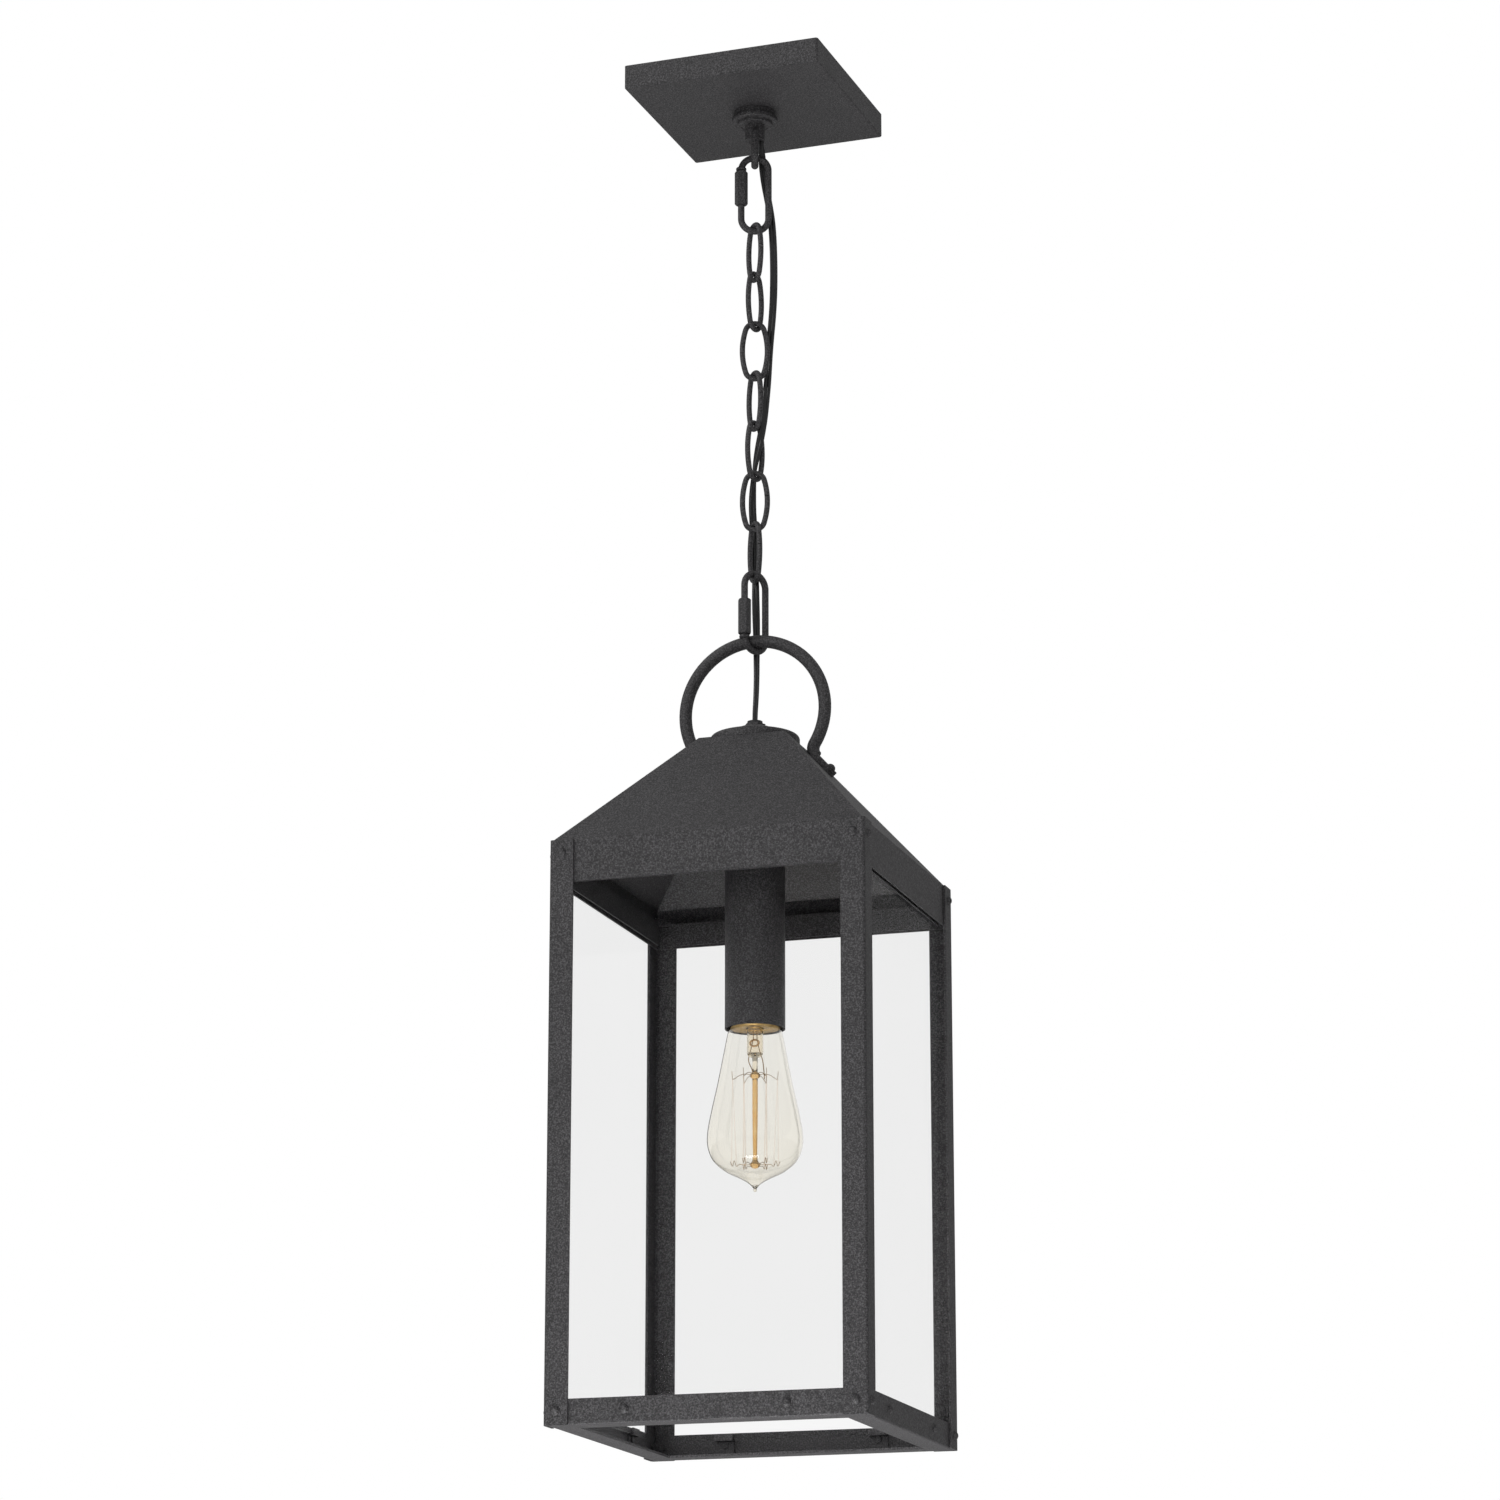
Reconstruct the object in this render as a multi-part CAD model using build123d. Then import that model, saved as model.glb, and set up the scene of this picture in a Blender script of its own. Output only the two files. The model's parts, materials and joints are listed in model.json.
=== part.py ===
from build123d import *

import math
import os

# Hanging lantern: a square four-pane lantern under a pyramid roof, hung by chain from a ceiling canopy.
# Millimetres. The origin is the centre of the ceiling face, +Z is up, and the front pane faces -Y.

# Driving dimensions: lantern case
CASE_HALF = 100.0            # outer faces of the corner posts
POST_LEG = 15.3
POST_SHEET = 1.5
FRAME_HALF = 98.4            # outer faces of the roof skirt and rails, just inside the posts
Z_BOTTOM = -879.0
Z_EAVE = -523.0
Z_SKIRT = -549.0             # lower edge of the roof skirt
Z_ROOF_TOP = -445.0
ROOF_TOP_HALF = 28.0
ROOF_SHEET = 1.2
RAIL_HEIGHT = 15.6
RAIL_FLANGE = 15.6
RAIL_SHEET = 1.5
RIVET_INSET = 8.5            # from a post's end to its rivet
CLIP_SPACING = 100.0         # between the two glass clips of one rail
GLASS_THICK = 2.4
GLASS_OUTER = 96.6
GLASS_BOTTOM = -867.4
GLASS_TOP = -535.0
CHANNEL_HALF = 88.0          # half the length of an upper glass channel
CLIP_WIDTH = 12.0
CLIP_SHEET = 1.0
Z_CLIP_RIVET = Z_BOTTOM + 8.4

# Driving dimensions: canopy and its hardware
CANOPY_SIDE = 132.0
CANOPY_DEPTH = 16.0
CANOPY_SHEET = 1.2
CANOPY_TURN = -2.3           # degrees about +Z, as hung
CANOPY_HOLE_R = 13.0
STRAP_LENGTH = 116.0
STRAP_WIDTH = 18.0
STRAP_THICK = 2.0
STRAP_SLOT_SPACING = 88.9
STRAP_SLOT_LENGTH = 16.0
STRAP_SLOT_R = 2.4
THREAD_R = 5.0               # lamp pipe thread, used at the strap and in the lantern
THREAD_GAP = 0.05
GROUND_X = 24.0
GROUND_R = 2.0
BARREL_R = 9.0
BARREL_TOP = -8.6
BARREL_BOTTOM = -25.0
COLLAR_TOP = -CANOPY_DEPTH - 0.1
COLLAR_BOTTOM = -25.2
COLLAR_NECK_R = 13.2
COLLAR_RIM_R = 15.0
COLLAR_RIM_HIGH = -19.4
COLLAR_RIM_LOW = -23.2
COLLAR_STEP_R = 11.4
BOSS_R = 6.35
LOOP_R = 2.4
LOOP_HALF_WIDTH = 6.4
CORD_HOLE_R = 1.7

# Driving dimensions: chain
LINK_R = 1.75
LINK_HALF_LENGTH = 18.9      # of the wire's centreline
LINK_HALF_WIDTH = 8.05
LINK_END_RADIUS = 6.2
LINK_SLIT = 0.4
HANG_GAP = 0.3               # between two wires that hang on each other
QUICK_R = 2.15
QUICK_HALF_LENGTH = 25.6
QUICK_HALF_WIDTH = 8.85
QUICK_NUT_FLATS = 7.4
QUICK_NUT_LENGTH = 23.2
QUICK_NUT_BORE_GAP = 0.07
NUT_END = 15.9               # from a quick link's middle to its nut's closed end
RING_R = 4.0
RING_RADIUS = 46.0
KNEE_RADIUS = 7.5
FOOT_THICK = 4.0
FOOT_WIDTH = 10.0
FOOT_END = 33.0              # down the slope from its top edge
FOOT_RIVET = 28.4

# The turn of each hanging piece's plane about +Z, in degrees from +X, from the canopy down
LOOP_TURN = 107.5
QUICK_UPPER_TURN = 17.5
LINK_TURNS = [-43.5, 76.0, 17.5, -45.0, 72.5, 7.5, -50.5]
QUICK_LOWER_TURN = 59.5

# Heights of the wires' centrelines, from the lantern's ring up to the canopy loop
Z_UPPER_QUICK_TOP = -47.45
Z_LOOP_LOW = Z_UPPER_QUICK_TOP - QUICK_R - LOOP_R - HANG_GAP
Z_LOOP_HIGH = -27.0
Z_BOSS_BOTTOM = -35.4
Z_UPPER_QUICK_LOW = Z_UPPER_QUICK_TOP - 2 * QUICK_HALF_LENGTH
Z_CHAIN_TOP = Z_UPPER_QUICK_LOW + QUICK_R + LINK_R + HANG_GAP
LINK_PITCH = 2 * LINK_HALF_LENGTH - 2 * LINK_R - HANG_GAP
Z_CHAIN_LOW = Z_CHAIN_TOP - (len(LINK_TURNS) - 1) * LINK_PITCH - 2 * LINK_HALF_LENGTH
Z_LOWER_QUICK_TOP = Z_CHAIN_LOW + LINK_R + QUICK_R + HANG_GAP
Z_LOWER_QUICK_LOW = Z_LOWER_QUICK_TOP - 2 * QUICK_HALF_LENGTH
Z_RING_TOP = Z_LOWER_QUICK_LOW + QUICK_R + RING_R + HANG_GAP
Z_RING_CENTRE = Z_RING_TOP - RING_RADIUS

# Driving dimensions: roof cap, lamp pipe, socket and bulb
CAP_FLANGE_R = 28.3
CAP_FLANGE_HEIGHT = 5.8
CAP_TIER_R = 17.0
CAP_HEIGHT = 13.0
CAP_SHEET = 1.2
CAP_DOME_R = 28.0
CAP_FLAT = 0.9               # the dome's top is cut off by this much, as the nut's seat
PIPE_TOP = -430.6
PIPE_BOTTOM = -568.0
PIPE_BORE_R = 3.4
SLEEVE_R = 18.75
SLEEVE_WALL = 1.1
SLEEVE_TOP = -502.0
SLEEVE_BOTTOM = -627.0
NUT_FLATS = 14.0
NUT_THICK = 3.0
HOLDER_R = 16.6
HOLDER_TOP = -562.0
HOLDER_SHOULDER = -576.0
HOLDER_FLOOR = -586.0
HOLDER_RIM = -614.0
SHELL_BORE_R = 13.5
SHELL_WALL = 0.5
BULB_CAP_R = 12.9
BULB_CAP_TOP = -592.0
BULB_CAP_RIM = -614.0
BULB_NECK_R = 11.5
BULB_NECK_TOP = -608.0
TIP_Z = -727.4
# The bulb's outline under its cap, as (radius, distance below the cap's rim)
BULB_OUTLINE = [
    (12.8, 1.0), (14.0, 5.0), (17.2, 16.5), (20.2, 31.7), (23.5, 48.4), (27.2, 65.2),
    (29.6, 78.5), (29.0, 87.5), (25.6, 95.6), (19.0, 102.0), (9.0, 106.6), (2.6, 110.2),
]
GLASS_WALL = 0.8
NECK_DISC_R = 14.3
NECK_DISC_BORE_R = 4.7
NECK_DISC_LOW = -625.2
NECK_DISC_HIGH = -624.8
STEM_END = -644.3
CAGE_TOP = -656.2
CAGE_BOTTOM = -711.4
CAGE_R = 13.8
STRANDS = 12

# Driving dimensions: supply cord, as a plain round tube along its real route
CORD_R = 1.4
CORD_POINTS = [
    (3.5, 2.8, -31.0), (3.7, 2.9, -37.5), (3.5, 4.5, -44.0), (3.4, 6.2, -52.0),
    (4.6, 6.7, -63.0), (7.0, 7.1, -76.0), (9.2, 7.3, -90.0), (10.4, 6.8, -106.0),
    (10.9, 6.5, -124.0), (10.6, 6.8, -142.0), (9.5, 7.2, -158.0), (8.1, 7.3, -172.0),
    (7.2, 6.9, -186.0), (6.8, 5.9, -200.0), (6.0, 4.4, -214.0), (5.3, 2.6, -228.0),
    (3.3, 2.5, -239.0), (0.6, 3.2, -250.0), (-1.5, 4.1, -260.5), (-2.8, 4.8, -271.0),
    (-3.8, 6.4, -284.0), (-3.7, 8.4, -297.0), (-3.1, 9.6, -309.0), (-2.8, 9.5, -322.0),
    (-2.1, 8.0, -334.0), (-1.5, 6.4, -347.0), (-1.1, 6.2, -361.0), (-0.9, 6.5, -375.0),
    (-0.9, 6.3, -387.0), (-0.2, 4.2, -400.0), (0.2, 1.6, -414.0), (0.0, 0.0, -424.5),
    (0.0, 0.0, -433.0),
]


def save(name, *solids):
    """Writes one node, made of one solid or of a group of separate ones."""
    shape = solids[0] if len(solids) == 1 else Compound(children=list(solids))
    export_step(shape, f"parts/{name}.step")


def rod(path, radius):
    """A round bar along a path."""
    section = Plane(origin=path @ 0, z_dir=path % 0) * Circle(radius)
    return sweep(section, path=path)


def tube(outer, bore, bottom, top):
    """An upright round tube on the axis."""
    height = top - bottom
    return Pos(0, 0, bottom + height / 2) * (Cylinder(outer, height) - Cylinder(bore, height))


def disc(radius, bottom, top):
    """An upright solid cylinder on the axis."""
    return Pos(0, 0, (bottom + top) / 2) * Cylinder(radius, top - bottom)


def block(x, y, z):
    """A box from its limits along each axis."""
    middle = [(a + b) / 2 for a, b in (x, y, z)]
    return Pos(*middle) * Box(x[1] - x[0], y[1] - y[0], z[1] - z[0])


def hex_nut(flats, thick, bore, bottom):
    """An upright hexagon nut on the axis."""
    sketch = RegularPolygon(flats / 2, 6, major_radius=False) - Circle(bore)
    return extrude(Pos(0, 0, bottom) * sketch, thick)


def frustum(low_half, z_low, high_half, z_high):
    """A square pyramid with its top cut off."""
    low = Pos(0, 0, z_low) * Rectangle(2 * low_half, 2 * low_half)
    high = Pos(0, 0, z_high) * Rectangle(2 * high_half, 2 * high_half)
    return loft([low.face(), high.face()])


def rivet(outer_face, depth, head_r=3.0, head_height=2.2, shank_r=1.5, tail_r=2.4, tail_height=1.1):
    """A dome-headed rivet along -Y: its head stands on y = outer_face, its tail ends depth behind that."""
    dome_r = (head_r**2 + head_height**2) / (2 * head_height)
    dome = Pos(0, 0, head_height - dome_r) * Sphere(dome_r)
    head = dome & (Pos(0, 0, head_height / 2) * Box(3 * head_r, 3 * head_r, head_height))
    shank = Pos(0, 0, -depth / 2) * Cylinder(shank_r, depth)
    tail = Pos(0, 0, -depth - tail_height / 2) * Cylinder(tail_r, tail_height)
    return Pos(0, outer_face, 0) * Rot(90, 0, 0) * (head + shank + tail)


def quarter_turns(shape):
    """The shape at each of the four sides: front, right, back and left."""
    return [Rot(0, 0, 90 * side) * shape for side in range(4)]


# Ceiling hardware


def mounting_strap():
    strap = Pos(0, 0, -STRAP_THICK / 2) * Box(STRAP_LENGTH, STRAP_WIDTH, STRAP_THICK)
    strap = fillet(strap.edges().filter_by(Axis.Z), 4.0)
    strap -= Cylinder(THREAD_R + THREAD_GAP, 10)
    slot = extrude(SlotOverall(STRAP_SLOT_LENGTH, 2 * STRAP_SLOT_R), 5, both=True)
    for side in (-1, 1):
        strap -= Pos(side * STRAP_SLOT_SPACING / 2, 0, 0) * slot
    strap -= Pos(GROUND_X, 0, 0) * Cylinder(GROUND_R, 10)
    return strap


def ground_screw():
    head = Pos(GROUND_X, 0, -STRAP_THICK - 1.2) * Cylinder(3.6, 2.4)
    head -= Pos(GROUND_X, 0, -STRAP_THICK - 2.4) * Box(8, 1.0, 1.6)
    shank = Pos(GROUND_X, 0, -STRAP_THICK / 2 - 0.3) * Cylinder(GROUND_R - THREAD_GAP, STRAP_THICK)
    return head + shank


def canopy_loop():
    """Threaded barrel, round boss with the cord's hole, and the closed loop under it."""
    barrel = Pos(0, 0, (BARREL_TOP + BARREL_BOTTOM) / 2) * Cylinder(BARREL_R, BARREL_TOP - BARREL_BOTTOM)
    boss = Pos(0, 0, (BARREL_BOTTOM + Z_BOSS_BOTTOM) / 2) * Cylinder(BOSS_R, BARREL_BOTTOM - Z_BOSS_BOTTOM)
    half_height = (Z_LOOP_HIGH - Z_LOOP_LOW) / 2
    loop = upright_oval(half_height, LOOP_HALF_WIDTH, LOOP_HALF_WIDTH, LOOP_R)
    loop = Pos(0, 0, Z_LOOP_LOW + half_height) * Rot(0, 0, LOOP_TURN) * loop
    whole = barrel + boss + loop
    bore_bottom = BARREL_BOTTOM + 1.0
    whole -= disc(THREAD_R + THREAD_GAP, bore_bottom, BARREL_TOP)
    exit_x, exit_y, _ = CORD_POINTS[0]
    whole -= Pos(exit_x, exit_y, Z_BOSS_BOTTOM) * Cylinder(CORD_HOLE_R, 2 * (bore_bottom - Z_BOSS_BOTTOM))
    return whole


def canopy():
    """A square pan, open to the ceiling, with soft edges."""
    pan = Pos(0, 0, -CANOPY_DEPTH / 2) * Box(CANOPY_SIDE, CANOPY_SIDE, CANOPY_DEPTH)
    pan = fillet(pan.edges().filter_by(Axis.Z), 1.6)
    pan = fillet(pan.faces().sort_by(Axis.Z)[0].edges(), 1.2)
    inner = CANOPY_SIDE - 2 * CANOPY_SHEET
    pan -= block((-inner / 2, inner / 2), (-inner / 2, inner / 2), (-CANOPY_DEPTH + CANOPY_SHEET, 1))
    pan -= Pos(0, 0, -CANOPY_DEPTH) * Cylinder(CANOPY_HOLE_R, 10)
    return Rot(0, 0, CANOPY_TURN) * pan


def screw_collar():
    """Round ring nut under the canopy: a neck, a wide rim and a step, with soft edges."""
    bore = BARREL_R + 0.1
    rim = fillet(disc(COLLAR_RIM_R, COLLAR_RIM_LOW, COLLAR_RIM_HIGH).edges().filter_by(GeomType.CIRCLE), 1.1)
    neck = disc(COLLAR_NECK_R, COLLAR_RIM_HIGH - 1, COLLAR_TOP)
    step = disc(COLLAR_STEP_R, COLLAR_BOTTOM, COLLAR_RIM_LOW + 1)
    step = fillet(step.edges().filter_by(GeomType.CIRCLE).sort_by(Axis.Z)[0], 0.6)
    return rim + neck + step - disc(bore, COLLAR_BOTTOM - 1, COLLAR_TOP + 1)


# Chain


def upright_oval(half_length, half_width, end_radius, wire_r):
    """A closed bar in the XZ plane about the origin: round ends joined by side arcs or straight sides."""
    end_y = half_length - end_radius
    if half_width - end_radius < 0.01:
        right = Line((half_width, -end_y), (half_width, end_y))
        left = Line((-half_width, end_y), (-half_width, -end_y))
        ends = [CenterArc((0, end_y), end_radius, 0, 180), CenterArc((0, -end_y), end_radius, 180, 180)]
        outline = Wire([right, ends[0], left, ends[1]])
    else:
        side_r = (half_width**2 + end_y**2 - end_radius**2) / (2 * (half_width - end_radius))
        turn = math.degrees(math.asin(end_y / (side_r - end_radius)))
        side_x = side_r - half_width
        outline = Wire([
            CenterArc((-side_x, 0), side_r, -turn, 2 * turn),
            CenterArc((0, end_y), end_radius, turn, 180 - 2 * turn),
            CenterArc((side_x, 0), side_r, 180 - turn, 2 * turn),
            CenterArc((0, -end_y), end_radius, 180 + turn, 180 - 2 * turn),
        ])
    return rod(Rot(90, 0, 0) * outline, wire_r)


def chain_link(number):
    """An oval link of round wire with its butt slit, turned and placed."""
    link = upright_oval(LINK_HALF_LENGTH, LINK_HALF_WIDTH, LINK_END_RADIUS, LINK_R)
    slit_side = -1 if number == 2 else 1
    link -= Pos(slit_side * LINK_HALF_WIDTH, 0, 3.0) * Box(3 * LINK_R, 3 * LINK_R, LINK_SLIT)
    middle = Z_CHAIN_TOP - number * LINK_PITCH - LINK_HALF_LENGTH
    return Pos(0, 0, middle) * Rot(0, 0, LINK_TURNS[number]) * link


def quick_link(up):
    """A long link with a threaded gap under its nut; up is 1 where the nut closes upwards, else -1."""
    link = upright_oval(QUICK_HALF_LENGTH, QUICK_HALF_WIDTH, QUICK_HALF_WIDTH, QUICK_R)
    gap_middle = up * (NUT_END - 6.5)
    link -= Pos(-QUICK_HALF_WIDTH, 0, gap_middle) * Box(6, 6, 6)
    bead = Pos(-QUICK_HALF_WIDTH, 0, up * (NUT_END + 1.7)) * fillet(Cylinder(3.4, 2.2).edges(), 0.9)
    return link + bead


def quick_nut(up):
    """The hexagon sleeve nut of a quick link, chamfered at both ends."""
    nut = extrude(RegularPolygon(QUICK_NUT_FLATS / 2, 6, major_radius=False), QUICK_NUT_LENGTH)
    corner_r = QUICK_NUT_FLATS / 2 / math.cos(math.radians(30))
    turned = chamfer(Cylinder(corner_r + 0.01, QUICK_NUT_LENGTH).edges().filter_by(GeomType.CIRCLE), 0.8)
    nut = nut & (Pos(0, 0, QUICK_NUT_LENGTH / 2) * turned)
    nut -= Pos(0, 0, QUICK_NUT_LENGTH / 2) * Cylinder(QUICK_R + QUICK_NUT_BORE_GAP, 2 * QUICK_NUT_LENGTH)
    low = NUT_END - QUICK_NUT_LENGTH if up > 0 else -NUT_END
    return Pos(-QUICK_HALF_WIDTH, 0, low) * nut


# Lantern case


def roof():
    """Folded sheet: top plate, four slopes and a skirt."""
    rise = (Z_ROOF_TOP - Z_EAVE) / (FRAME_HALF - ROOF_TOP_HALF)
    drop = ROOF_SHEET * math.hypot(1, rise)
    inner_half = FRAME_HALF - ROOF_SHEET
    inner_eave = Z_EAVE + ROOF_SHEET * rise - drop
    inner_top_half = ROOF_TOP_HALF - (drop - ROOF_SHEET) / rise
    outside = block((-FRAME_HALF, FRAME_HALF), (-FRAME_HALF, FRAME_HALF), (Z_SKIRT, Z_EAVE))
    outside += frustum(FRAME_HALF, Z_EAVE, ROOF_TOP_HALF, Z_ROOF_TOP)
    inside = block((-inner_half, inner_half), (-inner_half, inner_half), (Z_SKIRT - 1, inner_eave))
    inside += frustum(inner_half, inner_eave, inner_top_half, Z_ROOF_TOP - ROOF_SHEET)
    sheet = outside - inside
    sheet -= Pos(0, 0, Z_ROOF_TOP) * Cylinder(THREAD_R + 0.1, 10)
    for hole in ring_rivet_holes() + post_rivet_holes(Z_EAVE - RIVET_INSET):
        sheet -= hole
    return sheet


def roof_envelope():
    """The solid shape of the roof's outside, used to seat what stands on it."""
    return frustum(FRAME_HALF + 1, Z_EAVE - 1, ROOF_TOP_HALF, Z_ROOF_TOP)


def slope_frame():
    """The right-hand slope: a point at its top edge, then its unit vectors downhill and outward (X, Z)."""
    run, fall = FRAME_HALF - ROOF_TOP_HALF, Z_EAVE - Z_ROOF_TOP
    length = math.hypot(run, fall)
    return (ROOF_TOP_HALF, Z_ROOF_TOP), (run / length, fall / length), (-fall / length, run / length)


def on_slope(down, out):
    """A point of the XZ plane, a distance down the right-hand slope and out from it."""
    top, downhill, outward = slope_frame()
    return top[0] + down * downhill[0] + out * outward[0], top[1] + down * downhill[1] + out * outward[1]


def knee_down():
    """How far down the slope the knee's arc meets the foot: the knee also touches the ring's big circle."""
    x, z = on_slope(0, FOOT_THICK / 2 + KNEE_RADIUS)
    _, downhill, _ = slope_frame()
    z -= Z_RING_CENTRE
    half_b = x * downhill[0] + z * downhill[1]
    c = x**2 + z**2 - (RING_RADIUS + KNEE_RADIUS) ** 2
    return math.sqrt(half_b**2 - c) - half_b


def slope_turned(shape, down, out):
    """Stands a shape, made along +Z, on the right-hand slope."""
    x, z = on_slope(down, out)
    _, _, outward = slope_frame()
    tilt = math.degrees(math.atan2(outward[0], outward[1]))
    return Pos(x, 0, z) * Rot(0, tilt, 0) * shape


def ring_rivet_holes():
    hole = slope_turned(Cylinder(1.6, 12), FOOT_RIVET, 0)
    return [hole, Rot(0, 0, 180) * hole]


def post_rivet_holes(z):
    """Holes for the post rivets of one height, two on each side of the case."""
    x = CASE_HALF - POST_LEG / 2
    holes = [Pos(side * x, -FRAME_HALF, z) * Rot(90, 0, 0) * Cylinder(1.6, 10) for side in (-1, 1)]
    return [hole for pair in zip(*[quarter_turns(h) for h in holes]) for hole in pair]


def hanging_ring():
    """The fixed ring: round bar, a knee at each end, and a flat foot riveted to each side slope."""
    foot_start = knee_down()
    knee_centre = on_slope(foot_start, FOOT_THICK / 2 + KNEE_RADIUS)
    from_ring = (knee_centre[0], knee_centre[1] - Z_RING_CENTRE)
    knee_angle = math.degrees(math.atan2(from_ring[1], from_ring[0]))
    _, _, outward = slope_frame()
    foot_angle = math.degrees(math.atan2(outward[1], outward[0])) + 180
    start_angle = knee_angle + 180
    right_knee = CenterArc(knee_centre, KNEE_RADIUS, start_angle, foot_angle - start_angle)
    left_knee = right_knee.edge().mirror(Plane.YZ)
    big_arc = CenterArc((0, Z_RING_CENTRE), RING_RADIUS, knee_angle, 180 - 2 * knee_angle)
    outline = Wire([right_knee, big_arc, left_knee])
    ring = rod(Rot(90, 0, 0) * outline, RING_R)
    foot_middle = (foot_start - 2 + FOOT_END) / 2
    foot = Pos(0, 0, FOOT_THICK / 2) * Box(FOOT_END - foot_start + 2, FOOT_WIDTH, FOOT_THICK)
    foot = fillet(foot.edges().filter_by(Axis.Z).sort_by(Axis.X)[-2:], 4.2)
    foot -= Pos(FOOT_RIVET - foot_middle, 0, 0) * Cylinder(1.6, 20)
    right_foot = slope_turned(foot, foot_middle, 0)
    ring = ring + right_foot + Rot(0, 0, 180) * right_foot
    return ring - roof_envelope()


def ring_rivets():
    one = Rot(-90, 0, 0) * rivet(0, FOOT_THICK + ROOF_SHEET + 0.2)
    right = slope_turned(one, FOOT_RIVET, FOOT_THICK)
    return [right, Rot(0, 0, 180) * right]


def corner_post():
    """Bent sheet angle at the front left corner, with rivet holes in both legs."""
    inner = CASE_HALF - POST_SHEET
    leg = (-CASE_HALF, POST_LEG - CASE_HALF)
    outside = block(leg, leg, (Z_BOTTOM, Z_EAVE))
    edge = outside.edges().filter_by(Axis.Z).sort_by(lambda e: e.center().X + e.center().Y)[0]
    outside = fillet(edge, 2.0)
    inside = block((-inner, CASE_HALF), (-inner, CASE_HALF), (Z_BOTTOM - 1, Z_EAVE + 1))
    post = outside - inside
    for z in (Z_BOTTOM + RIVET_INSET, Z_EAVE - RIVET_INSET):
        for hole in post_rivet_holes(z):
            post -= hole
    return post


def bottom_rail(length, flange_length):
    """Front rail: an angle with its flange turned inwards along the bottom."""
    half, flange_half = length / 2, flange_length / 2
    upright = block((-half, half), (-FRAME_HALF, RAIL_SHEET - FRAME_HALF), (Z_BOTTOM, Z_BOTTOM + RAIL_HEIGHT))
    across = (-flange_half, flange_half)
    flange = block(across, (-FRAME_HALF, RAIL_FLANGE - FRAME_HALF), (Z_BOTTOM, Z_BOTTOM + RAIL_SHEET))
    rail = upright + flange
    edge = rail.edges().filter_by(Axis.X).sort_by(lambda e: e.center().Y + e.center().Z)[0]
    rail = fillet(edge, 1.3)
    holes = post_rivet_holes(Z_BOTTOM + RIVET_INSET)
    for x in (-CLIP_SPACING / 2, CLIP_SPACING / 2):
        holes.append(Pos(x, -FRAME_HALF, Z_CLIP_RIVET) * Rot(90, 0, 0) * Cylinder(1.6, 10))
    for hole in holes:
        rail -= hole
    return rail


def glass_clip(x):
    """Bent tab on the front rail: it carries the pane's lower edge and holds it from behind."""
    back = RAIL_SHEET - FRAME_HALF
    lip = GLASS_THICK - GLASS_OUTER + 0.3
    across = (x - CLIP_WIDTH / 2, x + CLIP_WIDTH / 2)
    tab = block(across, (back, back + CLIP_SHEET), (Z_BOTTOM + RAIL_SHEET + 0.2, GLASS_BOTTOM))
    ledge = block(across, (back, lip + CLIP_SHEET), (GLASS_BOTTOM - CLIP_SHEET, GLASS_BOTTOM))
    stop = block(across, (lip, lip + CLIP_SHEET), (GLASS_BOTTOM - CLIP_SHEET, GLASS_BOTTOM + 3.4))
    clip = tab + ledge + stop
    return clip - Pos(x, back, Z_CLIP_RIVET) * Rot(90, 0, 0) * Cylinder(1.6, 10)


def glass_channel():
    """Angle strip inside the front skirt that holds the pane's upper edge from behind."""
    lip = GLASS_THICK - GLASS_OUTER + 0.3
    top = GLASS_TOP + 0.4
    across = (-CHANNEL_HALF, CHANNEL_HALF)
    shelf = block(across, (ROOF_SHEET - FRAME_HALF, lip + CLIP_SHEET), (top, top + CLIP_SHEET))
    stop = block(across, (lip, lip + CLIP_SHEET), (Z_SKIRT + 0.5, top + CLIP_SHEET))
    return shelf + stop


def glass_pane(half):
    return block((-half, half), (-GLASS_OUTER, GLASS_THICK - GLASS_OUTER), (GLASS_BOTTOM, GLASS_TOP))


# Roof cap, lamp pipe and socket


def turned_part(*outline):
    """A solid of revolution from its half section, as (radius, height) points."""
    section = Rot(90, 0, 0) * make_face(Polyline(*outline, close=True))
    return revolve(section, Axis.Z)


def domed(radius, dome_r, bottom, crown):
    """An upright solid cylinder whose top is a low dome."""
    return disc(radius, bottom, crown) & (Pos(0, 0, crown - dome_r) * Sphere(dome_r))


def roof_cap():
    """Spun cap over the pipe's hole: a flat tier with a round shoulder, and a low dome on it."""
    tier_top, crown = Z_ROOF_TOP + CAP_FLANGE_HEIGHT, Z_ROOF_TOP + CAP_HEIGHT
    tier = disc(CAP_FLANGE_R, Z_ROOF_TOP, tier_top)
    tier = fillet(tier.edges().filter_by(GeomType.CIRCLE).sort_by(Axis.Z)[-1], 2.6)
    cap = tier + domed(CAP_TIER_R, CAP_DOME_R, Z_ROOF_TOP, crown)
    cap -= disc(CAP_TIER_R, crown - CAP_FLAT, crown + 1)
    cap -= disc(CAP_FLANGE_R - 2.6, Z_ROOF_TOP, tier_top - CAP_SHEET)
    cap -= domed(CAP_TIER_R - CAP_SHEET, CAP_DOME_R - CAP_SHEET, Z_ROOF_TOP, crown - CAP_SHEET)
    return cap - disc(THREAD_R + 0.1, Z_ROOF_TOP, crown)


def socket_sleeve():
    """Plain tube round the lampholder, closed at its top but for the pipe's hole."""
    sleeve = tube(SLEEVE_R, SLEEVE_R - SLEEVE_WALL, SLEEVE_BOTTOM, SLEEVE_TOP)
    sleeve += tube(SLEEVE_R - SLEEVE_WALL / 2, THREAD_R + 0.1, SLEEVE_TOP - 1.5, SLEEVE_TOP)
    top_rim = sleeve.edges().filter_by(GeomType.CIRCLE).sort_by(Axis.Z)[-2:]
    return fillet([e for e in top_rim if e.radius > 10], 1.0)


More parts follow.
